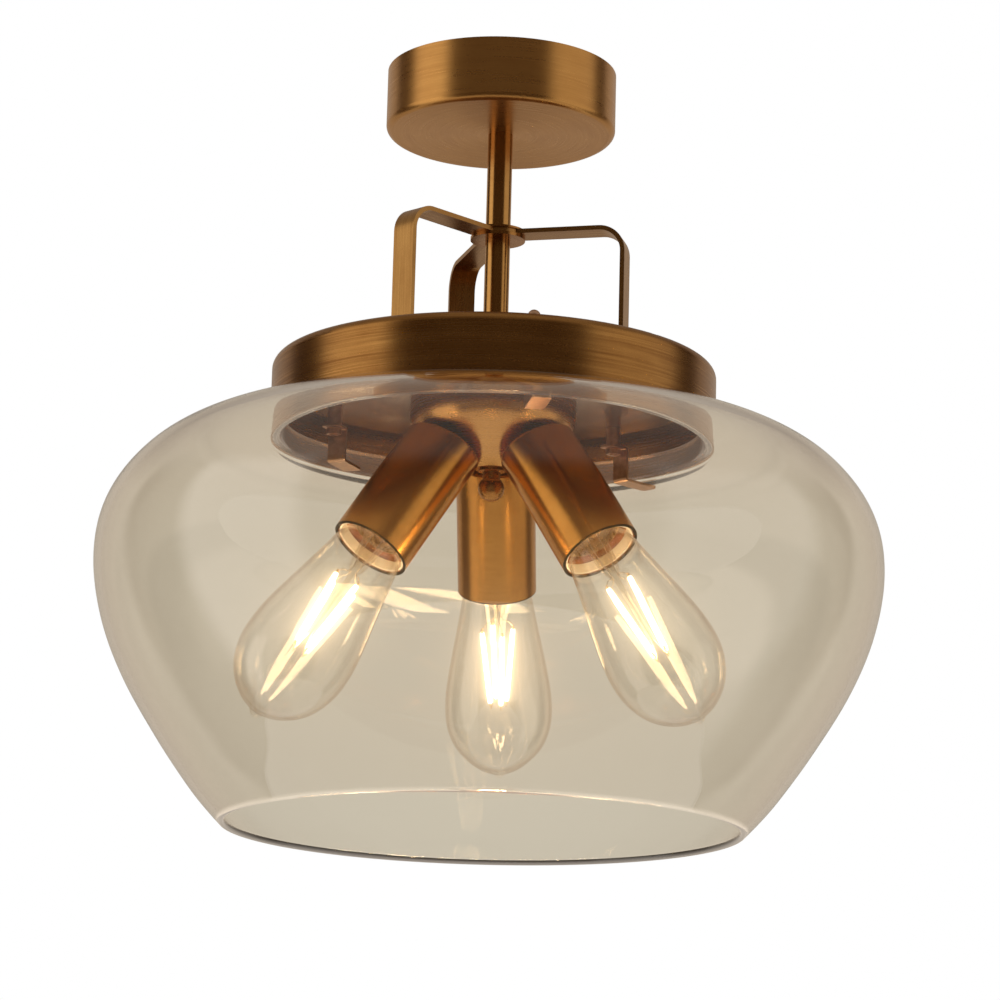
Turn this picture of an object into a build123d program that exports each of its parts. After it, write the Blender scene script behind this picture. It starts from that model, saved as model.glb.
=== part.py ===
from build123d import *
import os
from math import sin, cos, tan, atan2, radians, degrees, hypot, pi, sqrt

os.makedirs("parts", exist_ok=True)

# ---------------------------------------------------------------------------
# Semi flush ceiling light.  Millimetres, +Z up.
# Origin: middle of the ceiling bracket's top face, which lies on the ceiling.
# Everything hangs below z = 0.  Azimuths are counted from +X towards +Y.
# ---------------------------------------------------------------------------

# --- driving dimensions ----------------------------------------------------
ROSE_R = 60.2            # ceiling rose, outer radius
ROSE_H = 33.3            # ceiling rose, height
ROSE_T = 1.2             # ceiling rose, wall
STEM_R = 6.5             # stem tube, outer radius
NIPPLE_R = 5.0           # M10 fine thread
NIPPLE_BORE = 3.75
NECK_Z = -196.5          # height of the glass neck below the ceiling
PAN_R = 115.0            # pan, outer radius
PAN_H = 35.6             # pan, height above the neck plane
PAN_T = 1.2
TRAY_R = 103.0           # stiffening tray inside the pan
TRAY_Z = 26.0            # underside of the tray, above the neck plane
TRAY_T = 1.2
ARM_W = 14.0             # spider strip width
ARM_T = 2.4              # spider strip thickness
ARM_R = 68.0             # radius of the spider legs
ARM_TOP = 109.3          # top face of the strips, above the neck plane
ARM_BEND = 14.0          # outer bend radius of the strips
ARM_AZ = (346.0, 226.0, 106.0)
HUB_R = 43.4             # lampholder hub, outer radius
HUB_T = 1.2
TILT = 33.3              # lamp axes, away from vertical
LAMP_AZ = {"back": 86.1, "left": 206.1, "right": 326.1}
SLEEVE_R = 20.8          # lamp sleeve, outer radius
SLEEVE_T = 1.6
SLEEVE_L = 72.5
SLEEVE_TOP = (27.4, -6.9)   # radius and height of the middle of a sleeve's closed end
SPACER_H = 2.0           # gap between a sleeve and the hub cone
BULB_IN = 35.0           # length of a bulb hidden in its sleeve
BULB_L = 143.8           # whole length of a bulb
SHADE_T = 3.6            # glass thickness
SHADE_RIM_Z = -206.2     # rim, below the neck plane
COLLAR_R = 113.0         # glass collar, outer radius
COLLAR_T = 4.0
COLLAR_Z = 13.0          # top of the glass collar
HOOK_R = 88.0            # circle of the hook screws
HOOK_W = 10.0
HOOK_T = 1.5
HOOK_REACH = 6.0         # from the screw to the hook's upright
HOOK_FOOT = 23.0         # length of the foot past the upright
# azimuth of each hook's screw, and the way its foot points at rest
HOOKS = {"front": (282.5, 279.0), "right": (42.5, 44.0), "left": (162.5, 69.5)}
CLEAR = 0.35             # gap between pieces that move on each other


def zr(z):
    """Height above the ceiling plane of a height above the neck plane."""
    return NECK_Z + z


def polar(r, az, z):
    return Vector(r * cos(radians(az)), r * sin(radians(az)), z)


def at(shapes, x, y, tol=1e-3):
    """The vertices of a sketch that lie at one point."""
    return [v for v in shapes if abs(v.X - x) < tol and abs(v.Y - y) < tol]


def radial_plane(az, z=0.0):
    """Upright plane through the lamp's axis: local x is outward, local y is up."""
    a = radians(az)
    return Plane(origin=(0, 0, z), x_dir=(cos(a), sin(a), 0), z_dir=(sin(a), -cos(a), 0))


# --- axis of a lamp: s runs down the sleeve from its closed end -------------
T_SIN, T_COS = sin(radians(TILT)), cos(radians(TILT))


def lamp_point(az, s, off=0.0):
    """Point at s along a lamp axis, moved outward across it by off."""
    r = SLEEVE_TOP[0] + s * T_SIN + off * T_COS
    z = zr(SLEEVE_TOP[1]) - s * T_COS + off * T_SIN
    return polar(r, az, z)


def lamp_dir(az):
    return polar(T_SIN, az, -T_COS)


def lamp_plane(az, s0=0.0):
    """Plane that holds the lamp axis: local x is across it, local y runs along it."""
    a = radians(az)
    return Plane(origin=lamp_point(az, s0), x_dir=polar(T_COS, az, T_SIN), z_dir=(-sin(a), cos(a), 0))


def lamp_cross(az, s):
    """Plane square to the lamp axis at s, facing along it."""
    return Plane(origin=lamp_point(az, s), x_dir=polar(T_COS, az, T_SIN), z_dir=lamp_dir(az))


def lamp_axis(az):
    return Axis(origin=lamp_point(az, 0), direction=lamp_dir(az))


# hub cone, square to the lamp axes
CONE_R0 = SLEEVE_TOP[0] - SPACER_H * T_SIN
CONE_Z0 = SLEEVE_TOP[1] + SPACER_H * T_COS


def cone_z(r, depth=0.0):
    """Height of the hub cone's outer face at radius r, or of a face that deep inside."""
    return CONE_Z0 + (r - CONE_R0) * tan(radians(TILT)) + depth / T_COS


HUB_TIP_R = 9.0
made = []


def keep(builder, label):
    builder.part.label = label
    export_step(builder.part, f"parts/{label}.step")
    made.append((label, builder.part.volume, len(builder.part.solids())))


# ===========================================================================
# CEILING END
# ===========================================================================
STRAP_L, STRAP_W, STRAP_T = 115.0, 24.0, 2.0
EAR_H = 14.0
SLOT_X, SLOT_L, SLOT_R = 30.0, 15.0, 2.5
CABLE_X, CABLE_R = -12.0, 6.0
SIDE_SCREW_Z = -9.0

with BuildPart() as ceiling_bracket:
    with BuildSketch(Plane.XY.offset(-STRAP_T)):
        Rectangle(STRAP_L, STRAP_W)
        with Locations((0, 26)):
            Rectangle(30, 28)
        with Locations((SLOT_X, 0), (-SLOT_X, 0)):
            SlotOverall(SLOT_L, 2 * SLOT_R, mode=Mode.SUBTRACT)
        with Locations((CABLE_X, 0)):
            Circle(CABLE_R, mode=Mode.SUBTRACT)
        with Locations((-45.5, 0)):
            Circle(2.0, mode=Mode.SUBTRACT)
    extrude(amount=STRAP_T)
    # ears turned down at both ends for the rose's side screws
    with BuildSketch(Plane.XY.offset(-EAR_H)):
        with Locations((STRAP_L / 2 - 1, 0), (-STRAP_L / 2 + 1, 0)):
            Rectangle(2, STRAP_W)
    extrude(amount=EAR_H)
    with BuildSketch(Plane.YZ):
        with Locations((0, SIDE_SCREW_Z)):
            Circle(2.0)
    extrude(amount=70, both=True, mode=Mode.SUBTRACT)
    ear_edges = ceiling_bracket.edges().filter_by(Axis.X).group_by(Axis.Z)[0]
    fillet(ear_edges, 3.0)
keep(ceiling_bracket, "ceiling_bracket")

with BuildPart() as ceiling_rose:
    with BuildSketch(Plane.XZ) as rose_sk:
        with BuildLine():
            Polyline(
                (NIPPLE_R + 0.05, -ROSE_H), (ROSE_R, -ROSE_H), (ROSE_R, 0), (ROSE_R - ROSE_T, 0),
                (ROSE_R - ROSE_T, -ROSE_H + ROSE_T), (NIPPLE_R + 0.05, -ROSE_H + ROSE_T), close=True)
        make_face()
        fillet(at(rose_sk.vertices(), ROSE_R, -ROSE_H), 3.4)
        fillet(at(rose_sk.vertices(), ROSE_R - ROSE_T, -ROSE_H + ROSE_T), 2.2)
    revolve(axis=Axis.Z)
    with BuildSketch(Plane.YZ):
        with Locations((0, SIDE_SCREW_Z)):
            Circle(2.1)
    extrude(amount=70, both=True, mode=Mode.SUBTRACT)
keep(ceiling_rose, "ceiling_rose")

# two headless screws hold the rose to the bracket's ears, flush with the rose
with BuildPart() as rose_side_screws:
    for sx in (1, -1):
        with BuildSketch(Plane.YZ.offset(sx * 51.5)):
            with Locations((0, SIDE_SCREW_Z)):
                Circle(2.0)
        extrude(amount=sx * 8.3)
        with BuildSketch(Plane.YZ.offset(sx * 59.8)):
            with Locations((0, SIDE_SCREW_Z)):
                RegularPolygon(1.15, 6)
        extrude(amount=-sx * 2.2, mode=Mode.SUBTRACT)
keep(rose_side_screws, "rose_side_screws")

BLOCK_Y0, BLOCK_Y1, BLOCK_Z = 20.0, 36.0, -15.0
with BuildPart() as terminal_block:
    with BuildSketch(Plane.XY.offset(BLOCK_Z)):
        with Locations((0, (BLOCK_Y0 + BLOCK_Y1) / 2)):
            Rectangle(28, BLOCK_Y1 - BLOCK_Y0)
    extrude(amount=-BLOCK_Z - STRAP_T)
    # waists between the three poles
    with BuildSketch(Plane.XY.offset(BLOCK_Z)):
        with Locations((4.7, BLOCK_Y0), (-4.7, BLOCK_Y0), (4.7, BLOCK_Y1), (-4.7, BLOCK_Y1)):
            Rectangle(1.2, 5)
    extrude(amount=9.0, mode=Mode.SUBTRACT)
    with BuildSketch(Plane.XY.offset(BLOCK_Z)):
        with Locations(*[(x, (BLOCK_Y0 + BLOCK_Y1) / 2 + y) for x in (-9.4, 0, 9.4) for y in (-4, 4)]):
            Circle(1.9)
    extrude(amount=5.0, mode=Mode.SUBTRACT)
    with BuildSketch(Plane.XZ.offset(-BLOCK_Y1)):
        with Locations((-9.4, SIDE_SCREW_Z + 1.5), (0, SIDE_SCREW_Z + 1.5), (9.4, SIDE_SCREW_Z + 1.5)):
            Circle(1.7)
    extrude(amount=6.0, mode=Mode.SUBTRACT)
keep(terminal_block, "terminal_block")

with BuildPart() as terminal_screws:
    with BuildSketch(Plane.XY.offset(BLOCK_Z + 5.0)):
        with Locations(*[(x, (BLOCK_Y0 + BLOCK_Y1) / 2 + y) for x in (-9.4, 0, 9.4) for y in (-4, 4)]):
            Circle(1.75)
    extrude(amount=-3.6)
    with BuildSketch(Plane.XY.offset(BLOCK_Z + 1.4)):
        with Locations(*[(x, (BLOCK_Y0 + BLOCK_Y1) / 2 + y) for x in (-9.4, 0, 9.4) for y in (-4, 4)]):
            Rectangle(3.0, 0.6)
    extrude(amount=0.8, mode=Mode.SUBTRACT)
keep(terminal_screws, "terminal_screws")

with BuildPart() as earth_screw:
    with BuildSketch(Plane.XY.offset(-STRAP_T)):
        with Locations((-45.5, 0)):
            Circle(2.0)
    extrude(amount=STRAP_T - 0.2)
    with BuildSketch(Plane.XY.offset(-STRAP_T - 0.8)):
        with Locations((-45.5, 0)):
            Circle(4.5)
    extrude(amount=0.8)
    with BuildSketch(Plane.XY.offset(-STRAP_T - 3.4)):
        with Locations((-45.5, 0)):
            Circle(3.8)
    extrude(amount=2.6)
    with BuildSketch(Plane.XY.offset(-STRAP_T - 3.4)):
        with Locations((-45.5, 0)):
            Rectangle(5.0, 0.9)
            Rectangle(0.9, 5.0)
    extrude(amount=1.4, mode=Mode.SUBTRACT)
keep(earth_screw, "earth_screw")

ROSE_IN = -ROSE_H + ROSE_T     # inner face of the rose's floor
with BuildPart() as rose_nipple:
    with BuildSketch(Plane.XY.offset(-ROSE_H - 12)):
        Circle(NIPPLE_R)
        Circle(NIPPLE_BORE, mode=Mode.SUBTRACT)
    extrude(amount=12 + ROSE_H - 24.5)
keep(rose_nipple, "rose_nipple")

with BuildPart() as rose_washer:
    with BuildSketch(Plane.XY.offset(ROSE_IN)):
        Circle(10.0)
        Circle(NIPPLE_R + 0.05, mode=Mode.SUBTRACT)
    extrude(amount=1.0)
keep(rose_washer, "rose_washer")

with BuildPart() as rose_nut:
    with BuildSketch(Plane.XY.offset(ROSE_IN + 1.0)):
        RegularPolygon(8.08, 6)
        Circle(NIPPLE_R, mode=Mode.SUBTRACT)
    extrude(amount=4.6)
    chamfer(rose_nut.edges().filter_by(GeomType.LINE).filter_by(Plane.XY), 0.5)
keep(rose_nut, "rose_nut")

# ===========================================================================
# STEM AND SPIDER
# ===========================================================================
with BuildPart() as stem_tube:
    with BuildSketch(Plane.XY.offset(zr(PAN_H))):
        Circle(STEM_R)
        Circle(NIPPLE_R, mode=Mode.SUBTRACT)
    extrude(amount=-ROSE_H - zr(PAN_H))
keep(stem_tube, "stem_tube")

TAB_W, TAB_LOW = 8.0, PAN_H - PAN_T - 5.4
PIN_Z = PAN_H - PAN_T - 0.9
with BuildPart() as spider_bracket:
    for az in ARM_AZ:
        with BuildSketch(radial_plane(az, NECK_Z)) as arm_sk:
            with BuildLine():
                Polyline(
                    (0, ARM_TOP - ARM_T), (ARM_R - ARM_T / 2, ARM_TOP - ARM_T), (ARM_R - ARM_T / 2, PAN_H),
                    (ARM_R + ARM_T / 2, PAN_H), (ARM_R + ARM_T / 2, ARM_TOP), (0, ARM_TOP), close=True)
            make_face()
            fillet(at(arm_sk.vertices(), ARM_R - ARM_T / 2, ARM_TOP - ARM_T), ARM_BEND - ARM_T)
            fillet(at(arm_sk.vertices(), ARM_R + ARM_T / 2, ARM_TOP), ARM_BEND)
        extrude(amount=ARM_W / 2, both=True)
        # the end of each leg narrows to a tab that drops through the pan
        with BuildSketch(radial_plane(az, NECK_Z)):
            with Locations((ARM_R, (PAN_H + TAB_LOW) / 2)):
                Rectangle(ARM_T, PAN_H - TAB_LOW)
        extrude(amount=TAB_W / 2, both=True)
        with BuildSketch(Plane(origin=polar(ARM_R - 5, az, zr(PIN_Z)), x_dir=(0, 0, 1), z_dir=polar(1, az, 0))):
            Circle(0.9)
        extrude(amount=10, mode=Mode.SUBTRACT)
    with BuildSketch(Plane.XY.offset(zr(ARM_TOP) - ARM_T)):
        Circle(13.2)
    extrude(amount=ARM_T)
    with BuildSketch(Plane.XY.offset(zr(ARM_TOP) - 10)):
        Circle(STEM_R)
    extrude(amount=20, mode=Mode.SUBTRACT)
keep(spider_bracket, "spider_bracket")

# round plates above and below the crossing of the strips
with BuildPart() as spider_plates:
    with BuildSketch(Plane.XY.offset(zr(ARM_TOP))):
        Circle(14.3)
        Circle(STEM_R, mode=Mode.SUBTRACT)
    extrude(amount=1.0)
    with BuildSketch(Plane.XY.offset(zr(ARM_TOP) - ARM_T - 1.7)):
        Circle(14.3)
        Circle(STEM_R, mode=Mode.SUBTRACT)
    extrude(amount=1.7)
keep(spider_plates, "spider_plates")

with BuildPart() as arm_pins:
    for az in ARM_AZ:
        with BuildSketch(Plane(origin=polar(ARM_R - 4.5, az, zr(PIN_Z)), x_dir=(0, 0, 1), z_dir=polar(1, az, 0))):
            Circle(0.9)
        extrude(amount=9)
keep(arm_pins, "arm_pins")

# ===========================================================================
# PAN, TRAY AND HUB
# ===========================================================================
ROD_R = 2.0
with BuildPart() as pan:
    with BuildSketch(Plane.XZ) as pan_sk:
        with BuildLine():
            Polyline(
                (NIPPLE_R + 0.05, zr(PAN_H)), (PAN_R, zr(PAN_H)), (PAN_R, zr(0)), (PAN_R - PAN_T, zr(0)),
                (PAN_R - PAN_T, zr(PAN_H - PAN_T)), (NIPPLE_R + 0.05, zr(PAN_H - PAN_T)), close=True)
        make_face()
        fillet(at(pan_sk.vertices(), PAN_R, zr(PAN_H)), 4.6)
        fillet(at(pan_sk.vertices(), PAN_R - PAN_T, zr(PAN_H - PAN_T)), 3.4)
    revolve(axis=Axis.Z)
    for az in ARM_AZ:
        with BuildSketch(Plane(origin=polar(0, az, zr(PAN_H - 3)), x_dir=polar(1, az, 0), z_dir=(0, 0, 1))):
            with Locations((ARM_R, 0)):
                Rectangle(ARM_T + 0.2, TAB_W + 0.2)
        extrude(amount=6, mode=Mode.SUBTRACT)
    with BuildSketch(Plane.XY.offset(zr(PAN_H - 3))):
        with Locations(*[(HOOK_R * cos(radians(a)), HOOK_R * sin(radians(a))) for a, _ in HOOKS.values()]):
            Circle(ROD_R + 0.05)
    extrude(amount=6, mode=Mode.SUBTRACT)
keep(pan, "pan")

with BuildPart() as stiffener_tray:
    with BuildSketch(Plane.XZ) as tray_sk:
        with BuildLine():
            Polyline(
                (NIPPLE_R + 0.05, zr(TRAY_Z)), (TRAY_R, zr(TRAY_Z)), (TRAY_R, zr(PAN_H - PAN_T)),
                (TRAY_R - TRAY_T, zr(PAN_H - PAN_T)), (TRAY_R - TRAY_T, zr(TRAY_Z + TRAY_T)),
                (NIPPLE_R + 0.05, zr(TRAY_Z + TRAY_T)), close=True)
        make_face()
        fillet(at(tray_sk.vertices(), TRAY_R, zr(TRAY_Z)), 2.6)
        fillet(at(tray_sk.vertices(), TRAY_R - TRAY_T, zr(TRAY_Z + TRAY_T)), 1.4)
    revolve(axis=Axis.Z)
    with BuildSketch(Plane.XY.offset(zr(TRAY_Z - 2))):
        with Locations(*[(HOOK_R * cos(radians(a)), HOOK_R * sin(radians(a))) for a, _ in HOOKS.values()]):
            Circle(ROD_R + 0.05)
    extrude(amount=6, mode=Mode.SUBTRACT)
keep(stiffener_tray, "stiffener_tray")

# threaded tube from the stem through pan and tray into the hub
CN_TOP, CN_LOW = PAN_H + 12.0, 13.0
with BuildPart() as centre_nipple:
    with BuildSketch(Plane.XY.offset(zr(CN_LOW))):
        Circle(NIPPLE_R)
        Circle(NIPPLE_BORE, mode=Mode.SUBTRACT)
    extrude(amount=CN_TOP - CN_LOW)
keep(centre_nipple, "centre_nipple")

# lock nut under the tray and a spacing collar between pan and tray
with BuildPart() as centre_nuts:
    with BuildSketch(Plane.XY.offset(zr(TRAY_Z + TRAY_T))):
        Circle(9.0)
        Circle(NIPPLE_R, mode=Mode.SUBTRACT)
    extrude(amount=PAN_H - PAN_T - TRAY_Z - TRAY_T)
    with BuildSketch(Plane.XY.offset(zr(TRAY_Z - 4.6))):
        RegularPolygon(8.08, 6)
        Circle(NIPPLE_R, mode=Mode.SUBTRACT)
    extrude(amount=4.6)
keep(centre_nuts, "centre_nuts")

with BuildPart() as hub_body:
    with BuildSketch(Plane.XZ) as hub_sk:
        with BuildLine():
            Polyline(
                (3.1, zr(cone_z(HUB_TIP_R))), (HUB_TIP_R, zr(cone_z(HUB_TIP_R))),
                (HUB_R, zr(cone_z(HUB_R))), (HUB_R, zr(TRAY_Z)), (HUB_R - HUB_T, zr(TRAY_Z)),
                (HUB_R - HUB_T, zr(cone_z(HUB_R - HUB_T, HUB_T))),
                (HUB_TIP_R, zr(cone_z(HUB_TIP_R, HUB_T))), (3.1, zr(cone_z(HUB_TIP_R, HUB_T))), close=True)
        make_face()
        fillet(at(hub_sk.vertices(), HUB_R, zr(cone_z(HUB_R))), 3.2)
        fillet(at(hub_sk.vertices(), HUB_R - HUB_T, zr(cone_z(HUB_R - HUB_T, HUB_T))), 2.0)
        fillet(at(hub_sk.vertices(), HUB_TIP_R, zr(cone_z(HUB_TIP_R))), 0.8)
    revolve(axis=Axis.Z)
    for az in LAMP_AZ.values():
        with BuildSketch(lamp_cross(az, -12)):
            Circle(NIPPLE_R)
        extrude(amount=12, mode=Mode.SUBTRACT)
keep(hub_body, "hub_body")

# windowed coupler that joins the threaded tube to the finial's stud
COUP_TOP, COUP_LOW, WIN_TOP, WIN_LOW = 20.4, -4.0, 13.0, 2.5
with BuildPart() as hub_coupler:
    with BuildSketch(Plane.XY.offset(zr(COUP_LOW))):
        Circle(8.0)
    extrude(amount=COUP_TOP - COUP_LOW)
    with BuildSketch(Plane.XY.offset(zr(WIN_TOP))):
        Circle(NIPPLE_R)
    extrude(amount=COUP_TOP - WIN_TOP, mode=Mode.SUBTRACT)
    with BuildSketch(Plane.XY.offset(zr(WIN_LOW))):
        Circle(4.6)
    extrude(amount=WIN_TOP - WIN_LOW, mode=Mode.SUBTRACT)
    for az in LAMP_AZ.values():
        with BuildSketch(Plane(origin=polar(0, az, zr((WIN_TOP + WIN_LOW) / 2)), x_dir=polar(1, az + 90, 0), z_dir=polar(1, az, 0))):
            Rectangle(6.4, WIN_TOP - WIN_LOW)
        extrude(amount=10, mode=Mode.SUBTRACT)
    with BuildSketch(Plane.XY.offset(zr(COUP_LOW))):
        Circle(3.0)
    extrude(amount=6.5, mode=Mode.SUBTRACT)
    chamfer(hub_coupler.edges().filter_by(GeomType.CIRCLE).group_by(Axis.Z)[0].sort_by(SortBy.RADIUS)[-1], 0.8)
keep(hub_coupler, "hub_coupler")

FIN_TOP = cone_z(HUB_TIP_R)
BALL_Z, BALL_R = -27.5, 6.8
with BuildPart() as finial_stud:
    with BuildSketch(Plane.XY.offset(zr(BALL_Z + 1.0))):
        Circle(3.0)
    extrude(amount=2.0 - (BALL_Z + 1.0))
keep(finial_stud, "finial_stud")

# ball nut: a collar against the hub, a short waist and a ball, blind bored
with BuildPart() as finial_nut:
    with BuildSketch(Plane.XZ) as fin_sk:
        with BuildLine():
            bz = zr(BALL_Z)
            neck_z = zr(FIN_TOP)
            dy = sqrt(BALL_R ** 2 - 4.6 ** 2)
            Polyline((3.0, bz + 1.0), (3.0, neck_z), (7.0, neck_z), (7.0, neck_z - 1.6), (4.6, neck_z - 2.2),
                     (4.6, bz + dy))
            ThreePointArc((4.6, bz + dy), (BALL_R, bz), (0, bz - BALL_R))
            Polyline((0, bz - BALL_R), (0, bz + 1.0), (3.0, bz + 1.0))
        make_face()
    revolve(axis=Axis.Z)
keep(finial_nut, "finial_nut")

# ===========================================================================
# LAMP SLEEVES AND LAMPHOLDERS
# ===========================================================================
SLEEVE_IN = SLEEVE_R - SLEEVE_T
TOP_T = 1.6
HOLDER_S0, HOLDER_S1 = 6.0, 61.5
CAP_S = SLEEVE_L - BULB_IN            # where a bulb's centre contact stands
SHELL_IN, SHELL_OUT, PITCH = 13.65, 14.5, 3.629

for name, az in LAMP_AZ.items():
    with BuildPart() as sleeve:
        with BuildSketch(lamp_plane(az)) as sl_sk:
            with BuildLine():
                Polyline(
                    (NIPPLE_R, 0), (SLEEVE_R, 0), (SLEEVE_R, SLEEVE_L), (SLEEVE_IN + 0.5, SLEEVE_L),
                    (SLEEVE_IN, SLEEVE_L - 0.5), (SLEEVE_IN, TOP_T), (NIPPLE_R, TOP_T), close=True)
            make_face()
            fillet(at(sl_sk.vertices(), SLEEVE_R, 0), 1.4)
            fillet(at(sl_sk.vertices(), SLEEVE_R, SLEEVE_L), 0.4)
        revolve(axis=lamp_axis(az))
    keep(sleeve, f"lamp_sleeve_{name}")

    # insulating lampholder: threaded boss, body, open skirt
    with BuildPart() as holder:
        with BuildSketch(lamp_plane(az)) as ho_sk:
            with BuildLine():
                Polyline(
                    (2.2, 14), (NIPPLE_R, 14), (NIPPLE_R, TOP_T), (8.5, TOP_T), (8.5, HOLDER_S0),
                    (15.5, HOLDER_S0), (18.0, HOLDER_S0 + 5), (18.0, HOLDER_S1 - 1), (17.0, HOLDER_S1),
                    (SHELL_OUT, HOLDER_S1), (SHELL_OUT, CAP_S - 4.5), (2.2, CAP_S - 4.5), close=True)
            make_face()
        revolve(axis=lamp_axis(az))
    keep(holder, f"lampholder_{name}")

    # rolled brass thread shell inside the lampholder
    with BuildPart() as shell:
        with BuildSketch(lamp_plane(az)) as sh_sk:
            with BuildLine():
                s0 = CAP_S - 1.0
                turns = 5
                pts = []
                for i in range(turns * 2 + 1):
                    pts.append((SHELL_IN if i % 2 == 0 else SHELL_IN + 0.45, s0 + i * PITCH / 2))
                s_end = pts[-1][1]
                Spline(*pts)
                Polyline(pts[-1], (SHELL_OUT, s_end), (SHELL_OUT, s0), pts[0])
            make_face()
        revolve(axis=lamp_axis(az))
    keep(shell, f"thread_shell_{name}")

# centre contacts, one standing in each lampholder
with BuildPart() as lampholder_contacts:
    for az in LAMP_AZ.values():
        with BuildSketch(lamp_plane(az)):
            with BuildLine():
                Polyline((0, CAP_S - 4.5), (4.5, CAP_S - 4.5), (4.5, CAP_S - 3.5), (2.4, CAP_S - 3.0),
                         (2.4, CAP_S - 1.2), (1.4, CAP_S - 0.4), (0, CAP_S - 0.4), close=True)
            make_face()
        revolve(axis=lamp_axis(az))
keep(lampholder_contacts, "lampholder_contacts")

# threaded tubes that hold the sleeves to the hub
SN_LOW = -11.0
with BuildPart() as sleeve_nipples:
    for az in LAMP_AZ.values():
        with BuildSketch(lamp_cross(az, SN_LOW)):
            Circle(NIPPLE_R)
            Circle(NIPPLE_BORE, mode=Mode.SUBTRACT)
        extrude(amount=14.0 - SN_LOW)
keep(sleeve_nipples, "sleeve_nipples")

# solid stand-ins of the hub cone's two faces, used only to shape the saddles
hub_filled = revolve(
    Plane.XZ * make_face(Polyline((0, zr(cone_z(0))), (HUB_R, zr(cone_z(HUB_R))), (HUB_R, zr(30)), (0, zr(30)), close=True)),
    Axis.Z)
hub_inside = revolve(
    Plane.XZ * make_face(Polyline((0, zr(cone_z(0, HUB_T))), (HUB_R - HUB_T, zr(cone_z(HUB_R - HUB_T, HUB_T))),
                                  (HUB_R - HUB_T, zr(25)), (0, zr(25)), close=True)),
    Axis.Z)

# saddle spacers between the cone and the flat ends of the sleeves
with BuildPart() as sleeve_spacers:
    for az in LAMP_AZ.values():
        with BuildSketch(lamp_cross(az, -5)):
            Circle(8.5)
            Circle(NIPPLE_R, mode=Mode.SUBTRACT)
        extrude(amount=5)
    add(hub_filled, mode=Mode.SUBTRACT)
keep(sleeve_spacers, "sleeve_spacers")

# saddle washers and nuts inside the hub
with BuildPart() as sleeve_washers:
    for az in LAMP_AZ.values():
        with BuildSketch(lamp_cross(az, -5.4)):
            Circle(8.5)
            Circle(NIPPLE_R, mode=Mode.SUBTRACT)
        extrude(amount=5)
    add(hub_inside, mode=Mode.INTERSECT)
keep(sleeve_washers, "sleeve_washers")

with BuildPart() as sleeve_nuts:
    for az in LAMP_AZ.values():
        with BuildSketch(lamp_cross(az, -9.8)):
            RegularPolygon(8.08, 6)
            Circle(NIPPLE_R, mode=Mode.SUBTRACT)
        extrude(amount=4.4)
keep(sleeve_nuts, "sleeve_nuts")

# ===========================================================================
# LEADS INSIDE THE LAMP
# ===========================================================================
LEAD_R, CORE_R, CORE_OFF = 2.25, 0.9, 1.3
with BuildPart() as supply_lead:
    with BuildLine() as lead_path:
        FilletPolyline((0, BLOCK_Y0, SIDE_SCREW_Z), (0, 0, SIDE_SCREW_Z), (0, 0, zr(24)), radius=15)
    with BuildSketch(Plane(origin=(0, BLOCK_Y0, SIDE_SCREW_Z), x_dir=(1, 0, 0), z_dir=(0, -1, 0))):
        Circle(LEAD_R)
    sweep(path=lead_path.line)
keep(supply_lead, "supply_lead")
lead_len = sum(e.length for e in lead_path.edges())
print("supply lead radius 15.0, length", round(lead_len, 1), "volume ratio",
      round(supply_lead.part.volume / (pi * LEAD_R ** 2 * lead_len), 4))

with BuildPart() as lamp_leads:
    for az in LAMP_AZ.values():
        s_turn = -16.0
        turn = lamp_point(az, s_turn)
        end = lamp_point(az, 11.5)
        r_turn = hypot(turn.X, turn.Y)
        p0 = polar(CORE_OFF, az, zr(24))
        p1 = polar(CORE_OFF, az, turn.Z + 0.8)
        run1 = p0.Z - p1.Z
        run2 = hypot(r_turn - CORE_OFF, 0.8)
        run3 = 11.5 - s_turn
        rad1 = 0.45 * min(run1, run2) / tan(radians(0.5 * 87))
        turn2 = (end - turn).get_angle(turn - p1)
        rad2 = 0.45 * min(run2, run3) / tan(radians(turn2 / 2))
        with BuildLine() as core_path:
            FilletPolyline(p0, p1, turn, end, radius=[rad1, rad2])
        with BuildSketch(Plane(origin=p0, x_dir=(1, 0, 0), z_dir=(0, 0, -1))):
            Circle(CORE_R)
        sweep(path=core_path.line)
        print("lamp lead", az, "radii", round(rad1, 1), round(rad2, 1), "length", round(sum(e.length for e in core_path.edges()), 1))
keep(lamp_leads, "lamp_leads")

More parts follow.
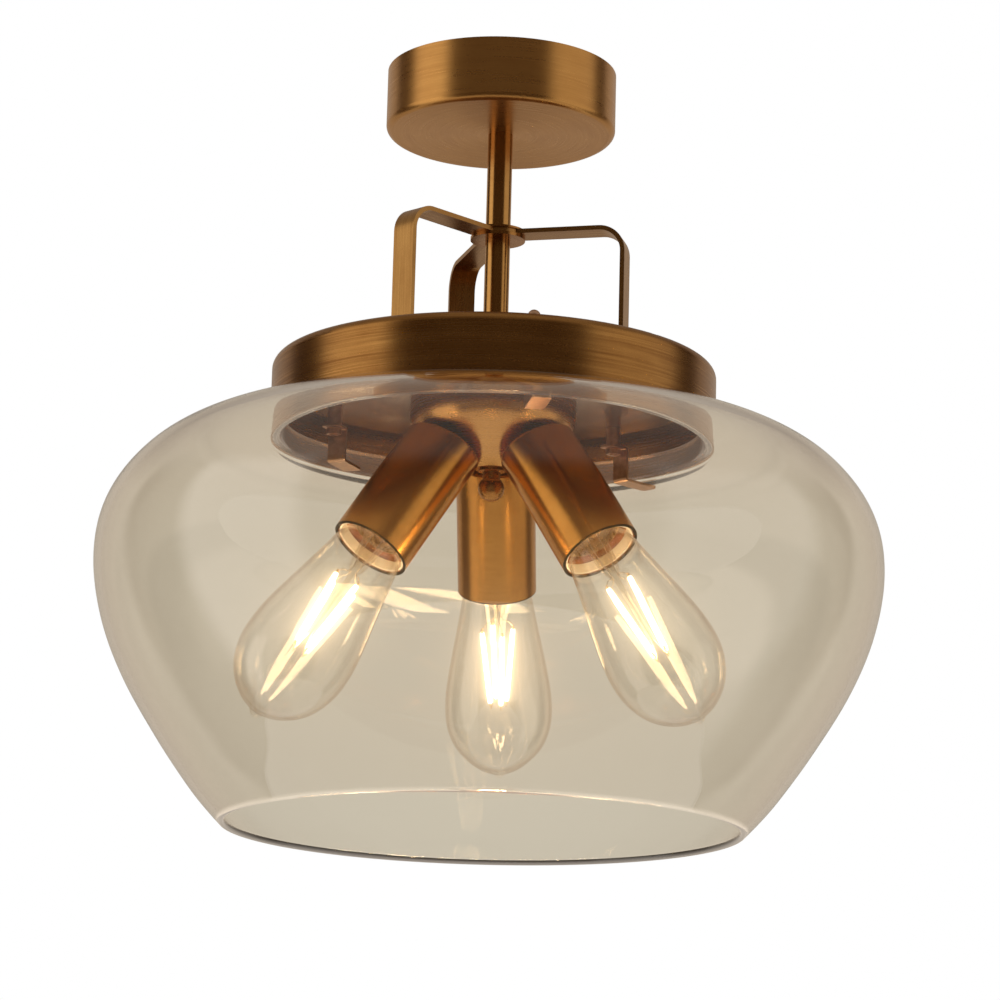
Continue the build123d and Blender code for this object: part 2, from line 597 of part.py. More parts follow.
# ===========================================================================
# SHADE HOOKS
# ===========================================================================
SHOULDER_IN = -4.9                       # underside of the glass shoulder
FOOT_TOP = SHOULDER_IN - CLEAR
TAB_Z = 13.0                             # underside of a hook's tab
for name, (az, foot) in HOOKS.items():
    centre = polar(HOOK_R, az, NECK_Z)
    fa = radians(foot)
    with BuildPart() as hook:
        side = Plane(origin=centre, x_dir=(cos(fa), sin(fa), 0), z_dir=(sin(fa), -cos(fa), 0))
        with BuildSketch(side) as hk_sk:
            with BuildLine():
                Polyline(
                    (-6.0, TAB_Z), (HOOK_REACH - HOOK_T / 2, TAB_Z), (HOOK_REACH - HOOK_T / 2, FOOT_TOP - HOOK_T),
                    (HOOK_REACH + HOOK_FOOT, FOOT_TOP - HOOK_T), (HOOK_REACH + HOOK_FOOT, FOOT_TOP),
                    (HOOK_REACH + HOOK_T / 2, FOOT_TOP), (HOOK_REACH + HOOK_T / 2, TAB_Z + HOOK_T),
                    (-6.0, TAB_Z + HOOK_T), close=True)
            make_face()
            fillet(at(hk_sk.vertices(), HOOK_REACH - HOOK_T / 2, TAB_Z), 0.6)
            fillet(at(hk_sk.vertices(), HOOK_REACH + HOOK_T / 2, TAB_Z + HOOK_T), 2.1)
            fillet(at(hk_sk.vertices(), HOOK_REACH + HOOK_T / 2, FOOT_TOP), 0.6)
            fillet(at(hk_sk.vertices(), HOOK_REACH - HOOK_T / 2, FOOT_TOP - HOOK_T), 2.1)
        extrude(amount=HOOK_W / 2, both=True)
        with BuildSketch(Plane(origin=centre + Vector(0, 0, TAB_Z - 1), x_dir=(1, 0, 0), z_dir=(0, 0, 1))):
            Circle(ROD_R + CLEAR)
        extrude(amount=4, mode=Mode.SUBTRACT)
        ends = hook.edges().filter_by(lambda e: abs(e.length - HOOK_T) < 1e-3 and abs(e.tangent_at(0.5).Z) > 0.99)
        fillet(ends, 2.0)
    keep(hook, f"shade_hook_{name}")

hook_xy = [(HOOK_R * cos(radians(a)), HOOK_R * sin(radians(a))) for a, _ in HOOKS.values()]
CAP_NUT_Z = PAN_H + 0.8
with BuildPart() as hook_rods:
    with BuildSketch(Plane.XY.offset(zr(8.4))):
        with Locations(*hook_xy):
            Circle(ROD_R)
    extrude(amount=CAP_NUT_Z + 5.0 - 8.4)
keep(hook_rods, "hook_rods")

with BuildPart() as hook_spacers:
    with BuildSketch(Plane.XY.offset(zr(TAB_Z + HOOK_T + CLEAR))):
        with Locations(*hook_xy):
            Circle(4.0)
            Circle(ROD_R, mode=Mode.SUBTRACT)
    extrude(amount=TRAY_Z - TAB_Z - HOOK_T - CLEAR)
keep(hook_spacers, "hook_spacers")

with BuildPart() as hook_nuts:
    with BuildSketch(Plane.XY.offset(zr(TAB_Z - CLEAR - 3.6))):
        with Locations(*hook_xy):
            RegularPolygon(4.04, 6)
            Circle(ROD_R, mode=Mode.SUBTRACT)
    extrude(amount=3.6)
keep(hook_nuts, "hook_nuts")

# cap nuts and washers on top of the pan
with BuildPart() as hook_cap_nuts:
    with BuildSketch(Plane.XY.offset(zr(PAN_H))):
        with Locations(*hook_xy):
            Circle(4.5)
            Circle(ROD_R, mode=Mode.SUBTRACT)
    extrude(amount=0.8)
    with BuildSketch(Plane.XY.offset(zr(CAP_NUT_Z))):
        with Locations(*hook_xy):
            RegularPolygon(4.04, 6)
    extrude(amount=3.2)
    for x, y in hook_xy:
        with BuildSketch(Plane(origin=(x, y, 0), x_dir=(1, 0, 0), z_dir=(0, -1, 0))):
            with BuildLine():
                zt = zr(CAP_NUT_Z + 3.2)
                Line((0, zt), (3.3, zt))
                Line((3.3, zt), (3.3, zt + 1.3))
                ThreePointArc((3.3, zt + 1.3), (3.3 * sin(radians(45)), zt + 1.3 + 3.3 * cos(radians(45))), (0, zt + 4.6))
                Line((0, zt + 4.6), (0, zt))
            make_face()
        revolve(axis=Axis(origin=(x, y, 0), direction=(0, 0, 1)))
    with BuildSketch(Plane.XY.offset(zr(PAN_H))):
        with Locations(*hook_xy):
            Circle(ROD_R)
    extrude(amount=5.8, mode=Mode.SUBTRACT)
keep(hook_cap_nuts, "hook_cap_nuts")

# ===========================================================================
# GLASS SHADE
# ===========================================================================
# outer outline from the shoulder to the rim (radius, height below the neck)
SHADE = [(119.5, -1.25), (125.0, -1.35), (136.0, -1.9), (147.0, -3.4), (157.8, -6.6), (167.9, -11.6), (177.1, -18.1),
         (185.2, -26.1), (192.1, -35.3), (197.2, -45.2), (200.4, -55.9), (201.7, -67.0), (201.5, -77.9),
         (200.1, -88.4), (197.9, -98.5), (195.0, -108.3), (191.4, -117.8), (187.2, -127.1), (182.4, -136.4),
         (176.9, -145.8), (170.7, -155.6), (163.7, -166.3), (155.4, -178.1), (145.4, -191.2)]
SHADE_START = (115.0, -1.3)
SHADE_END = (132.9, SHADE_RIM_Z + 1.4)


def inward(points, t):
    """Points moved square to the line through them, to the inside of the shade."""
    out = []
    for i in range(1, len(points) - 1):
        dx = points[i + 1][0] - points[i - 1][0]
        dy = points[i + 1][1] - points[i - 1][1]
        d = hypot(dx, dy)
        out.append((points[i][0] + t * dy / d, points[i][1] - t * dx / d))
    return out


outer_pts = [SHADE_START] + SHADE + [SHADE_END]
inner_pts = inward(outer_pts, SHADE_T)
rim_dir = Vector(SHADE_END[0] - SHADE[-1][0], SHADE_END[1] - SHADE[-1][1]).normalized()
rim_in = (SHADE_END[0] + SHADE_T * rim_dir.Y, SHADE_END[1] - SHADE_T * rim_dir.X)
rim_low = ((SHADE_END[0] + rim_in[0]) / 2 + 1.5 * rim_dir.X, (SHADE_END[1] + rim_in[1]) / 2 + 1.5 * rim_dir.Y)


def up(p):
    return (p[0], zr(p[1]))


FIL_C = (115.0, 0.7)
IN_R = COLLAR_R - COLLAR_T
with BuildPart() as glass_shade:
    with BuildSketch(Plane.XZ) as gl_sk:
        with BuildLine():
            Line(up((COLLAR_R, COLLAR_Z - 1.2)), up((COLLAR_R, FIL_C[1])))
            ThreePointArc(up((COLLAR_R, FIL_C[1])), up((FIL_C[0] - 2 * cos(radians(45)), FIL_C[1] - 2 * sin(radians(45)))), up(SHADE_START))
            Spline(*[up(p) for p in outer_pts])
            ThreePointArc(up(SHADE_END), up(rim_low), up(rim_in))
            Spline(up(rim_in), *[up(p) for p in reversed(inner_pts)], up((FIL_C[0], SHOULDER_IN)))
            rin_x, rin_y = FIL_C[0] - IN_R, FIL_C[1] - SHOULDER_IN
            ThreePointArc(up((FIL_C[0], SHOULDER_IN)),
                          up((FIL_C[0] - rin_x * cos(radians(45)), FIL_C[1] - rin_y * sin(radians(45)))),
                          up((IN_R, FIL_C[1])))
            Line(up((IN_R, FIL_C[1])), up((IN_R, COLLAR_Z - 1.2)))
            ThreePointArc(up((IN_R, COLLAR_Z - 1.2)), up(((IN_R + COLLAR_R) / 2, COLLAR_Z)), up((COLLAR_R, COLLAR_Z - 1.2)))
        make_face()
    revolve(axis=Axis.Z)
keep(glass_shade, "glass_shade")

# ===========================================================================
# BULBS
# ===========================================================================
# outline of the glass, m counted from the sleeve's mouth towards the tip
BULB = [(12.5, -9.5), (12.6, -8.3), (13.2, -7.0), (14.5, -5.2), (16.1, -3.0), (17.5, 0.0), (18.5, 4.5), (19.35, 9.5),
        (20.3, 15.0), (23.2, 30.0), (26.1, 45.0), (27.9, 56.0), (28.7, 67.0), (28.3, 75.5), (26.5, 83.0),
        (23.4, 90.0), (19.2, 95.6), (14.2, 100.0), (9.4, 102.8)]
BULB_TIP = [(5.4, 104.5), (3.3, 106.0), (2.1, 107.4), (1.2, 108.4), (0.0, 108.8)]
GLASS_T = 0.8
SEAL_M = -11.0           # open end of the glass, inside the cap
for name, az in LAMP_AZ.items():
    m0 = SLEEVE_L
    with BuildPart() as bulb:
        with BuildSketch(lamp_plane(az)) as bu_sk:
            with BuildLine():
                outer = [(r, m0 + m) for r, m in BULB + BULB_TIP]
                inner = [(BULB[0][0] - GLASS_T, m0 + BULB[0][1])]
                inner += inward([(r, m0 + m) for r, m in BULB], -GLASS_T)
                inner += [(8.9, m0 + 101.9), (4.6, m0 + 103.0), (0.0, m0 + 103.4)]
                Spline(*outer)
                Spline(*inner)
                Polyline(inner[0], (inner[0][0], m0 + SEAL_M), (outer[0][0], m0 + SEAL_M), outer[0])
                Line(inner[-1], outer[-1])
            make_face()
        revolve(axis=lamp_axis(az))
    keep(bulb, f"bulb_glass_{name}")

    # screw cap with its rolled thread, and the centre contact
    c0 = CAP_S
    with BuildPart() as cap:
        with BuildSketch(lamp_plane(az)) as ca_sk:
            with BuildLine():
                wall = 0.45
                pts = [(12.95 if i % 2 == 0 else 12.3, c0 + 5.0 + i * PITCH / 2) for i in range(9)]
                top = pts[-1][1]
                Polyline((10.0, c0 + 3.0), (12.2, c0 + 3.9), (12.95, c0 + 5.0))
                for a, b, c in zip(pts[:-2:2], pts[1:-1:2], pts[2::2]):
                    ThreePointArc(a, b, c)
                Polyline(pts[-1], (12.95, c0 + 25.2), (13.25, c0 + 25.7), (13.25, c0 + 27.0), (12.7, c0 + 27.0),
                         (12.7, c0 + 25.9), (12.95 - wall, c0 + 25.5), (12.95 - wall, top))
                pin = [(p[0] - wall, p[1]) for p in reversed(pts)]
                for a, b, c in zip(pin[:-2:2], pin[1:-1:2], pin[2::2]):
                    ThreePointArc(a, b, c)
                Polyline(pin[-1], (11.9, c0 + 4.3), (10.0, c0 + 3.5), (10.0, c0 + 3.0))
            make_face()
        revolve(axis=lamp_axis(az))
        with BuildSketch(lamp_plane(az)):
            with BuildLine():
                Polyline((0, c0), (1.6, c0), (3.6, c0 + 0.5), (4.8, c0 + 1.6), (0, c0 + 1.6), close=True)
            make_face()
        revolve(axis=lamp_axis(az))
    keep(cap, f"bulb_cap_{name}")

    # black glass between the cap and the contact
    with BuildPart() as base:
        with BuildSketch(lamp_plane(az)):
            with BuildLine():
                Polyline((0, c0 + 1.6), (5.6, c0 + 1.6), (10.0, c0 + 3.0), (10.0, c0 + 4.6), (0, c0 + 4.6), close=True)
            make_face()
        revolve(axis=lamp_axis(az))
    keep(base, f"bulb_base_{name}")

    # glass mount: flare fused into the neck, exhaust tube and pinch
    with BuildPart() as mount:
        with BuildSketch(lamp_plane(az)):
            with BuildLine():
                f0 = m0 + SEAL_M
                Polyline((2.2, f0), (11.7, f0), (11.7, f0 + 0.8), (7.4, f0 + 5.0), (5.2, f0 + 11.0), (4.6, f0 + 22.0),
                         (3.0, f0 + 27.5), (0.9, f0 + 29.0), (0.9, f0 + 62.0), (0, f0 + 62.0), (0, f0 + 27.0),
                         (2.4, f0 + 25.0), (3.6, f0 + 20.0), (4.2, f0 + 11.0), (2.2, f0 + 4.0), close=True)
            make_face()
        revolve(axis=lamp_axis(az))
    keep(mount, f"bulb_mount_{name}")

    # four light bars, spread at the mount and drawn together towards the tip
    with BuildPart() as bars:
        for k in range(4):
            ang = radians(45 + 90 * k)
            start = lamp_plane(az).from_local_coords((8.6 * cos(ang), m0 + 21.5, 8.6 * sin(ang)))
            stop = lamp_plane(az).from_local_coords((4.6 * cos(ang), m0 + 59.0, 4.6 * sin(ang)))
            along = (stop - start).normalized()
            with BuildSketch(Plane(origin=start, z_dir=along)):
                Circle(0.9)
            extrude(amount=(stop - start).length)
    keep(bars, f"bulb_filaments_{name}")

print(len(made), "nodes")
for label, volume, solids in made:
    print(f"{label:26s} {volume:12.1f} mm3  {solids} solid(s)")
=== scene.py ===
import math

import bmesh
import bpy
import numpy as np
from mathutils import Matrix, Vector


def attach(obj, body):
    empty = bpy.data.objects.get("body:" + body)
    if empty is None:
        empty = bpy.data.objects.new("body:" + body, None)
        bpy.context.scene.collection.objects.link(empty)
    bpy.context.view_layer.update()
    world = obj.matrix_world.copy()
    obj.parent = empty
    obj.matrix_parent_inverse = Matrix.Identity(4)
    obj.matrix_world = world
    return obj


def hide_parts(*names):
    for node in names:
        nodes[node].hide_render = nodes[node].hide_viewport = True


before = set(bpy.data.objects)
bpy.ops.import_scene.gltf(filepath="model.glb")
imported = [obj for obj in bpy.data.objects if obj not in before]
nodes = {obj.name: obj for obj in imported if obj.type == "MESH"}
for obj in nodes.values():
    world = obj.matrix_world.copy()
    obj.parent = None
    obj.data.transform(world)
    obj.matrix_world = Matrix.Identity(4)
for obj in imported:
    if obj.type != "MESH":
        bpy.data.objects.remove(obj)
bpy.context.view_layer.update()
scene = bpy.context.scene
rng = np.random.default_rng(7)

# ---------------------------------------------------------------------------
# Numbers shared with the construction, in metres
# ---------------------------------------------------------------------------
NECK = -0.1965
TILT = math.radians(33.3)
TS, TC = math.sin(TILT), math.cos(TILT)
LAMPS = {"back": 86.1, "left": 206.1, "right": 326.1}
SLEEVE_L = 0.0725
CAP_S = SLEEVE_L - 0.035
ARM_AZ = (346.0, 226.0, 106.0)


def lamp_matrix(az):
    """Lamp frame: local z runs down the sleeve from its closed end, x is across it, outward and up."""
    a = math.radians(az)
    o = Vector((0.0274 * math.cos(a), 0.0274 * math.sin(a), NECK - 0.0069))
    z = Vector((TS * math.cos(a), TS * math.sin(a), -TC))
    x = Vector((TC * math.cos(a), TC * math.sin(a), TS))
    y = z.cross(x)
    m = Matrix((x, y, z)).transposed().to_4x4()
    m.translation = o
    return m


# ---------------------------------------------------------------------------
# Mesh helpers
# ---------------------------------------------------------------------------
def fine(points, n):
    """n points on a natural cubic spline through the given points."""
    p = np.array(points, float)
    d = np.r_[0, np.cumsum(np.hypot(*np.diff(p, axis=0).T))]
    h = np.diff(d)
    k = len(p)
    a = np.zeros((k, k))
    b = np.zeros((k, 2))
    a[0, 0] = a[-1, -1] = 1
    for i in range(1, k - 1):
        a[i, i - 1], a[i, i], a[i, i + 1] = h[i - 1], 2 * (h[i - 1] + h[i]), h[i]
        b[i] = 6 * ((p[i + 1] - p[i]) / h[i] - (p[i] - p[i - 1]) / h[i - 1])
    m = np.linalg.solve(a, b)
    out = []
    for t in np.linspace(0, d[-1], n):
        i = min(max(int(np.searchsorted(d, t) - 1), 0), k - 2)
        u, v = d[i + 1] - t, t - d[i]
        q = (m[i] * u**3 + m[i + 1] * v**3) / (6 * h[i])
        q = q + (p[i] / h[i] - m[i] * h[i] / 6) * u + (p[i + 1] / h[i] - m[i + 1] * h[i] / 6) * v
        out.append((float(q[0]), float(q[1])))
    return out


def arc(cx, cy, rx, a0, a1, n, ry=None):
    ry = rx if ry is None else ry
    return [(cx + rx * math.cos(math.radians(a0 + (a1 - a0) * i / n)),
             cy + ry * math.sin(math.radians(a0 + (a1 - a0) * i / n))) for i in range(n + 1)]


def mesh_object(name, verts, faces, sharp=None):
    me = bpy.data.meshes.new(name)
    me.from_pydata([tuple(v) for v in verts], [], faces)
    me.validate()
    bm = bmesh.new()
    bm.from_mesh(me)
    bmesh.ops.remove_doubles(bm, verts=bm.verts, dist=1e-7)
    bmesh.ops.recalc_face_normals(bm, faces=bm.faces)
    bm.to_mesh(me)
    bm.free()
    me.shade_smooth()
    if sharp is not None:
        me.set_sharp_from_angle(angle=math.radians(sharp))
    ob = bpy.data.objects.new(name, me)
    scene.collection.objects.link(ob)
    return ob


def lathe(name, profile, segs=128, closed=True, matrix=None, sharp=35, wobble=None):
    """Revolves (radius, height) points about local z. A closed profile gives a ring with no open edge."""
    matrix = matrix or Matrix.Identity(4)
    verts, faces, rows = [], [], []
    for r, z in profile:
        row = []
        if r < 1e-8:
            row = [len(verts)] * segs
            verts.append(matrix @ Vector((0, 0, z)))
        else:
            for i in range(segs):
                a = 2 * math.pi * i / segs
                dr, dz = wobble(a, r, z) if wobble else (0.0, 0.0)
                row.append(len(verts))
                verts.append(matrix @ Vector(((r + dr) * math.cos(a), (r + dr) * math.sin(a), z + dz)))
        rows.append(row)
    pairs = list(zip(rows, rows[1:]))
    if closed:
        pairs.append((rows[-1], rows[0]))
    for a, b in pairs:
        for i in range(segs):
            j = (i + 1) % segs
            f = []
            for v in (a[i], a[j], b[j], b[i]):
                if v not in f:
                    f.append(v)
            if len(f) > 2:
                faces.append(f)
    return mesh_object(name, verts, faces, sharp)


def tube(name, path, radius, segs=12, matrix=None, ends=True, taper=None):
    """A round wire along a list of points, with closed ends."""
    matrix = matrix or Matrix.Identity(4)
    p = [Vector(q) for q in path]
    verts, faces, rows = [], [], []
    t0 = (p[1] - p[0]).normalized()
    n = t0.orthogonal().normalized()
    for i, q in enumerate(p):
        t = (p[min(i + 1, len(p) - 1)] - p[max(i - 1, 0)]).normalized()
        n = (n - t * n.dot(t)).normalized()
        b = t.cross(n)
        r = radius if taper is None else radius * taper(i / (len(p) - 1))
        row = []
        for k in range(segs):
            a = 2 * math.pi * k / segs
            row.append(len(verts))
            verts.append(matrix @ (q + (n * math.cos(a) + b * math.sin(a)) * r))
        rows.append(row)
    for a, b in zip(rows, rows[1:]):
        for k in range(segs):
            faces.append([a[k], a[(k + 1) % segs], b[(k + 1) % segs], b[k]])
    faces.append(list(reversed(rows[0])))
    faces.append(rows[-1])
    return mesh_object(name, verts, faces, 40)


def join(name, obs):
    """One object from several, each keeping its own material."""
    bm = bmesh.new()
    mats = []
    for o in obs:
        off = len(mats)
        mats += [s.material for s in o.material_slots] or [None]
        start = len(bm.faces)
        bm.from_mesh(o.data)
        bm.faces.ensure_lookup_table()
        for f in bm.faces[start:]:
            f.material_index += off
    me = bpy.data.meshes.new(name)
    bm.to_mesh(me)
    bm.free()
    for m in mats:
        me.materials.append(m)
    ob = bpy.data.objects.new(name, me)
    scene.collection.objects.link(ob)
    for o in obs:
        bpy.data.objects.remove(o)
    return ob


def smooth_path(points, n):
    """n points on a smooth line through 3-D points."""
    p = [Vector(q) for q in points]
    p = [p[0] * 2 - p[1]] + p + [p[-1] * 2 - p[-2]]
    out = []
    spans = len(p) - 3
    for i in range(n):
        t = i / (n - 1) * spans
        k = min(int(t), spans - 1)
        t -= k
        a, b, c, d = p[k], p[k + 1], p[k + 2], p[k + 3]
        out.append(0.5 * ((2 * b) + (c - a) * t + (2 * a - 5 * b + 4 * c - d) * t**2 + (3 * b - a - 3 * c + d) * t**3))
    return out


# ---------------------------------------------------------------------------
# Material helpers
# ---------------------------------------------------------------------------
class Mat:
    def __init__(self, name):
        self.m = bpy.data.materials.new(name)
        self.m.use_nodes = True
        self.n = self.m.node_tree.nodes
        self.l = self.m.node_tree.links
        self.n.clear()
        self.out = self.n.new("ShaderNodeOutputMaterial")
        self.pos = self.node("ShaderNodeTexCoord").outputs["Object"]

    def put(self, node, key, value):
        sock = node.inputs[key]
        if isinstance(value, bpy.types.NodeSocket):
            self.l.new(value, sock)
        elif isinstance(value, (tuple, list)) and sock.type == "RGBA" and len(value) == 3:
            sock.default_value = (*value, 1.0)
        else:
            sock.default_value = value

    def node(self, kind, props=None, **inputs):
        n = self.n.new(kind)
        for k, v in (props or {}).items():
            setattr(n, k, v)
        for k, v in inputs.items():
            self.put(n, k.replace("_", " "), v)
        return n

    def math(self, op, a, b=0.0, c=None):
        n = self.n.new("ShaderNodeMath")
        n.operation = op
        self.put(n, 0, a)
        self.put(n, 1, b)
        if c is not None:
            self.put(n, 2, c)
        return n.outputs[0]

    def vec(self, op, a, b=None):
        n = self.n.new("ShaderNodeVectorMath")
        n.operation = op
        self.put(n, 0, a)
        if b is not None:
            self.put(n, 1, b)
        return n.outputs["Value"] if op in ("DOT_PRODUCT", "LENGTH", "DISTANCE") else n.outputs["Vector"]

    def xyz(self, x, y, z):
        n = self.n.new("ShaderNodeCombineXYZ")
        for i, v in enumerate((x, y, z)):
            self.put(n, i, v)
        return n.outputs[0]

    def split(self, v):
        n = self.n.new("ShaderNodeSeparateXYZ")
        self.l.new(v, n.inputs[0])
        return n.outputs

    def noise(self, vector, scale=1.0, detail=3.0, rough=0.5, w=None):
        n = self.n.new("ShaderNodeTexNoise")
        n.noise_dimensions = "4D" if w is not None else "3D"
        self.put(n, "Vector", vector)
        n.inputs["Scale"].default_value = scale
        n.inputs["Detail"].default_value = detail
        n.inputs["Roughness"].default_value = rough
        if w is not None:
            self.put(n, "W", w)
        return n.outputs["Fac"]

    def ramp(self, fac, stops):
        n = self.n.new("ShaderNodeValToRGB")
        e = n.color_ramp.elements
        while len(e) < len(stops):
            e.new(0.5)
        for el, (p, c) in zip(e, stops):
            el.position = p
            el.color = (*c, 1.0) if len(c) == 3 else c
        self.l.new(fac, n.inputs[0])
        return n.outputs["Color"]

    def span(self, value, a, b, lo, hi, smooth=False):
        n = self.n.new("ShaderNodeMapRange")
        n.interpolation_type = "SMOOTHSTEP" if smooth else "LINEAR"
        self.put(n, "Value", value)
        for k, v in zip(("From Min", "From Max", "To Min", "To Max"), (a, b, lo, hi)):
            n.inputs[k].default_value = v
        return n.outputs[0]

    def bump(self, height, strength, distance, normal=None):
        n = self.n.new("ShaderNodeBump")
        self.put(n, "Height", height)
        n.inputs["Strength"].default_value = strength
        n.inputs["Distance"].default_value = distance
        if normal is not None:
            self.l.new(normal, n.inputs["Normal"])
        return n.outputs[0]

    def principled(self, **inputs):
        n = self.node("ShaderNodeBsdfPrincipled", **inputs)
        self.l.new(n.outputs[0], self.out.inputs["Surface"])
        return n


def brass(name, axis=None, arms=False, deep=(0.27, 0.095, 0.018), light=(0.62, 0.315, 0.092), rough=0.27,
          aniso=0.55, line=1.0, blotch=0.3, coat=0.03, streak=0.5, relief=0.05,
          mouth=None, grain=4.0, matte=0.08):
    """Brushed, antiqued brass. The brushing runs round the given axis, or along the flat arms."""
    m = Mat(name)
    if arms:
        x, y, z = m.split(m.pos)[0], m.split(m.pos)[1], m.split(m.pos)[2]
        lat = None
        for az in ARM_AZ:
            a = math.radians(az)
            d = m.math("ABSOLUTE", m.vec("DOT_PRODUCT", m.pos, (-math.sin(a), math.cos(a), 0.0)))
            lat = d if lat is None else m.math("MINIMUM", lat, d)
        r = m.vec("LENGTH", m.xyz(x, y, 0.0))
        q = m.xyz(m.math("MULTIPLY", lat, 1500.0 * line), m.math("MULTIPLY", r, 26.0), m.math("MULTIPLY", z, 26.0))
        w = 0.0
        tangent = None
    else:
        mt = axis or Matrix.Identity(4)
        o = mt.translation
        ax = [tuple(mt.col[i][:3]) for i in range(3)]
        p = m.vec("SUBTRACT", m.pos, tuple(o))
        lx, ly, lz = (m.vec("DOT_PRODUCT", p, a) for a in ax)
        r = m.vec("LENGTH", m.xyz(lx, ly, 0.0))
        safe = m.math("MAXIMUM", r, 1e-5)
        c, s = m.math("DIVIDE", lx, safe), m.math("DIVIDE", ly, safe)
        # the lines are as long as the arc they run on, so they shorten towards the middle of a disc
        q = m.xyz(m.math("MULTIPLY", r, 1300.0 * line), m.math("MULTIPLY", lz, 1300.0 * line), m.math("MULTIPLY", c, 1.6))
        w = m.math("MULTIPLY", s, 1.6)
        tangent = m.vec("NORMALIZE", m.vec("CROSS_PRODUCT", ax[2], p))
    lines = m.noise(q, 1.0, grain, 0.62, w)
    broad = m.noise(m.vec("MULTIPLY", q, (0.16, 0.16, 1.0)), 1.0, 3.0, 0.55, w)
    mott = m.noise(m.pos, 42.0, 4.0, 0.6)
    spots = m.noise(m.pos, 900.0, 2.0, 0.6)
    mix = m.math("MULTIPLY_ADD", m.math("SUBTRACT", lines, 0.5), streak, 0.5)
    mix = m.math("MULTIPLY_ADD", m.math("SUBTRACT", broad, 0.5), 0.75 * streak, mix)
    mix = m.math("MULTIPLY_ADD", m.math("SUBTRACT", mott, 0.5), blotch, mix)
    mid = tuple((a + b) / 2 for a, b in zip(deep, light))
    col = m.ramp(mix, [(0.12, deep), (0.5, mid), (0.88, light)])
    rgh = m.span(m.math("MULTIPLY_ADD", m.math("SUBTRACT", spots, 0.5), 0.35, lines), 0.2, 0.8, rough + matte, rough - matte)
    # painted shade: near the given mouth the colour drops to 7 %, so the sleeve's end face reads dark
    if mouth is not None:
        painted_mouth_shade = m.span(lz, mouth - 0.0009, mouth - 0.0005, 1.0, 0.07, True)
        col = m.vec("MULTIPLY", col, m.xyz(painted_mouth_shade, painted_mouth_shade, painted_mouth_shade))
    b = m.principled(Base_Color=col, Metallic=1.0, Roughness=rgh, Anisotropic=aniso)
    if relief:
        m.l.new(m.bump(m.math("ADD", lines, m.math("MULTIPLY", broad, 0.6)), relief, 0.0001), b.inputs["Normal"])
    b.inputs["Coat Weight"].default_value = coat
    b.inputs["Coat Roughness"].default_value = 0.16
    b.inputs["Coat Tint"].default_value = (1.0, 0.90, 0.74, 1.0)
    if tangent is not None:
        b.inputs["Anisotropic Rotation"].default_value = 0.25
        m.l.new(tangent, b.inputs["Tangent"])
    else:
        b.inputs["Anisotropic"].default_value = 0.0
    return m.m


def metal(name, base, other, rough, scale=260.0, bump=0.06, metallic=1.0):
    m = Mat(name)
    n1 = m.noise(m.pos, scale, 5.0, 0.6)
    n2 = m.noise(m.pos, scale * 7, 2.0, 0.5)
    col = m.ramp(n1, [(0.3, other), (0.7, base)])
    rgh = m.span(m.math("ADD", n1, m.math("MULTIPLY", n2, 0.4)), 0.4, 1.0, rough - 0.06, rough + 0.1)
    m.principled(Base_Color=col, Metallic=metallic, Roughness=rgh, Normal=m.bump(n2, bump, 0.0001))
    return m.m


def plastic(name, base, other, rough, coat=0.0, scale=120.0, bump=0.05, sss=0.0):
    m = Mat(name)
    n1 = m.noise(m.pos, scale, 4.0, 0.55)
    n2 = m.noise(m.pos, scale * 14, 2.0, 0.5)
    col = m.ramp(n1, [(0.32, other), (0.7, base)])
    rgh = m.span(n2, 0.3, 0.7, rough - 0.05, rough + 0.07)
    b = m.principled(Base_Color=col, Roughness=rgh, Normal=m.bump(n2, bump, 0.00008))
    b.inputs["Coat Weight"].default_value = coat
    b.inputs["Coat Roughness"].default_value = 0.05
    return m.m


def shade_glass(name, tint):
    """Solid clear glass with a champagne tint, faint drawn waves, a few fine scuffs and a painted glow at the rim and
    the neck.
    """
    m = Mat(name)
    wave = m.noise(m.vec("MULTIPLY", m.pos, (14.0, 14.0, 22.0)), 1.0, 1.0, 0.4)
    fineness = m.noise(m.pos, 160.0, 3.0, 0.5)
    rgh = m.span(fineness, 0.45, 0.8, 0.0, 0.012)
    nrm = m.bump(wave, 0.05, 0.0008)
    b = m.principled(Roughness=rgh, Normal=nrm)
    b.inputs["Base Color"].default_value = (*tint, 1.0)
    b.inputs["Transmission Weight"].default_value = 1.0
    b.inputs["IOR"].default_value = 1.5
    # painted glow: the rim, and more faintly the collar and shoulder top at the neck, emit warm light in place of light
    # caught in the glass
    low = m.span(m.split(m.pos)[2], -0.3990, -0.4016, 0.0, 1.0, True)
    b.inputs["Emission Color"].default_value = (1.0, 0.86, 0.72, 1.0)
    painted_neck_glow = m.span(m.split(m.pos)[2], NECK - 0.0035, NECK - 0.0005, 0.0, 1.0, True)
    m.l.new(m.math("ADD", m.math("MULTIPLY", low, 0.26), m.math("MULTIPLY", painted_neck_glow, 0.035)), b.inputs["Emission Strength"])
    return m.m


